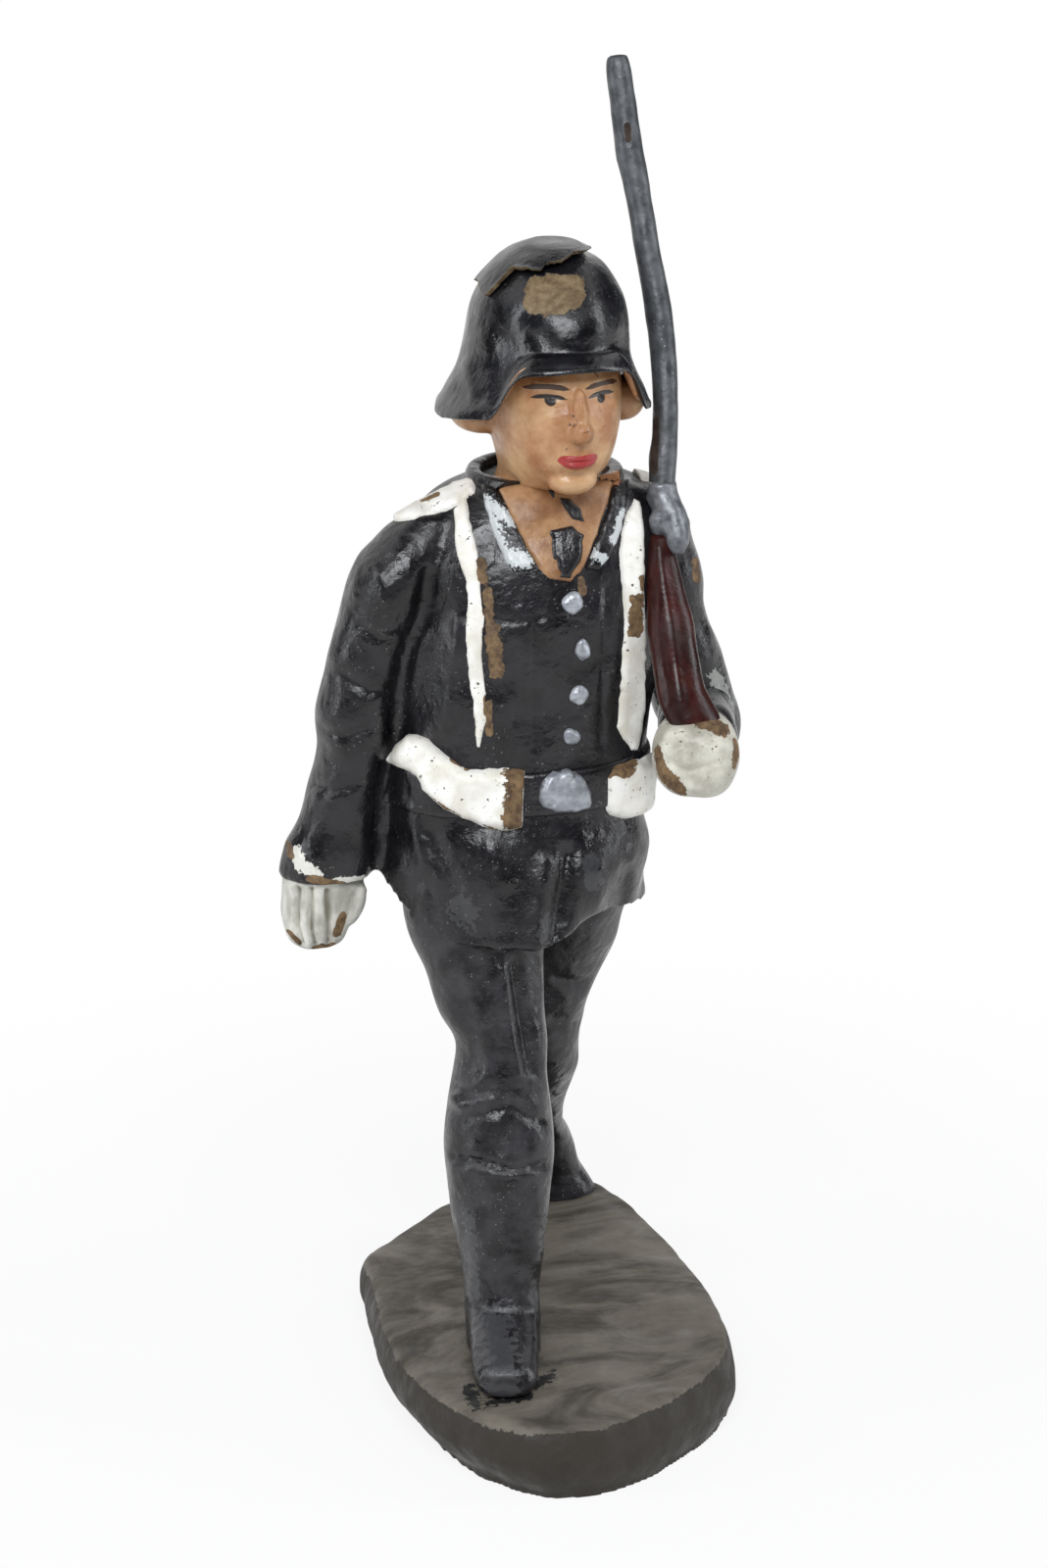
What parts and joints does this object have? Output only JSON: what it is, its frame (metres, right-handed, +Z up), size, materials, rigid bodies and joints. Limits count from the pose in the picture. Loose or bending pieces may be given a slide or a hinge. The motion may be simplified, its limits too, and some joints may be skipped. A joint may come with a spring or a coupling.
{
  "type": "toy soldier figure",
  "caption": "Marching toy soldier of painted composition on a wire armature, with a rifle on the left shoulder, a plug-in head that turns and an oval base.",
  "frame": {"origin": "middle of the base's underside", "axes": "+Z up, -Y the way the figure faces, -X its right side"},
  "size_m": [0.0301, 0.0403, 0.0853],
  "materials": {
    "base_paint": "matt grey-brown paint over moulded composition",
    "black_paint": "glossy black paint over moulded composition, chipped",
    "helmet_paint": "glossy black paint over moulded composition, chipped",
    "white_paint": "cream white paint over moulded composition, chipped",
    "flesh_paint": "flesh paint over moulded composition, cracked",
    "silver_paint": "silver paint over moulded composition",
    "stock_paint": "glossy red-brown paint",
    "barrel_metal": "bare grey metal rod, mottled",
    "wire": "soft iron wire"
  },
  "bodies": {
    "figure": {"base": "base_paint", "right_leg_wire": "wire", "left_leg_wire": "wire", "spine_wire": "wire", "right_arm_wire": "wire", "left_arm_wire": "wire", "right_boot": "black_paint", "left_boot": "black_paint", "right_breeches": "black_paint", "left_breeches": "black_paint", "tunic_skirt": "black_paint", "tunic_body": "black_paint", "collar": "black_paint", "shirt_front": "flesh_paint", "necktie": "black_paint", "belt": "black_paint", "belt_buckle": "silver_paint", "right_pouch": "white_paint", "left_pouch": "white_paint", "right_strap": "white_paint", "left_strap": "white_paint", "back_strap": "white_paint", "right_shoulder_board": "white_paint", "left_shoulder_board": "white_paint", "tunic_buttons": "silver_paint", "right_sleeve": "black_paint", "right_glove": "white_paint", "left_upper_sleeve": "black_paint", "left_fore_sleeve": "black_paint", "left_glove": "white_paint", "rifle_stock": "stock_paint", "rifle_action": "silver_paint", "rifle_barrel": "barrel_metal"},
    "head": {"head": "flesh_paint", "helmet": "helmet_paint", "helmet_crown": "helmet_paint"}
  },
  "joints": [
    {"name": "head_turn", "type": "hinge", "parent": "figure", "child": "head", "pos_m": [0.0001, 0.0003, 0.0574], "axis": [0, 0, 1], "range_deg": [-35, 8]}
  ]
}
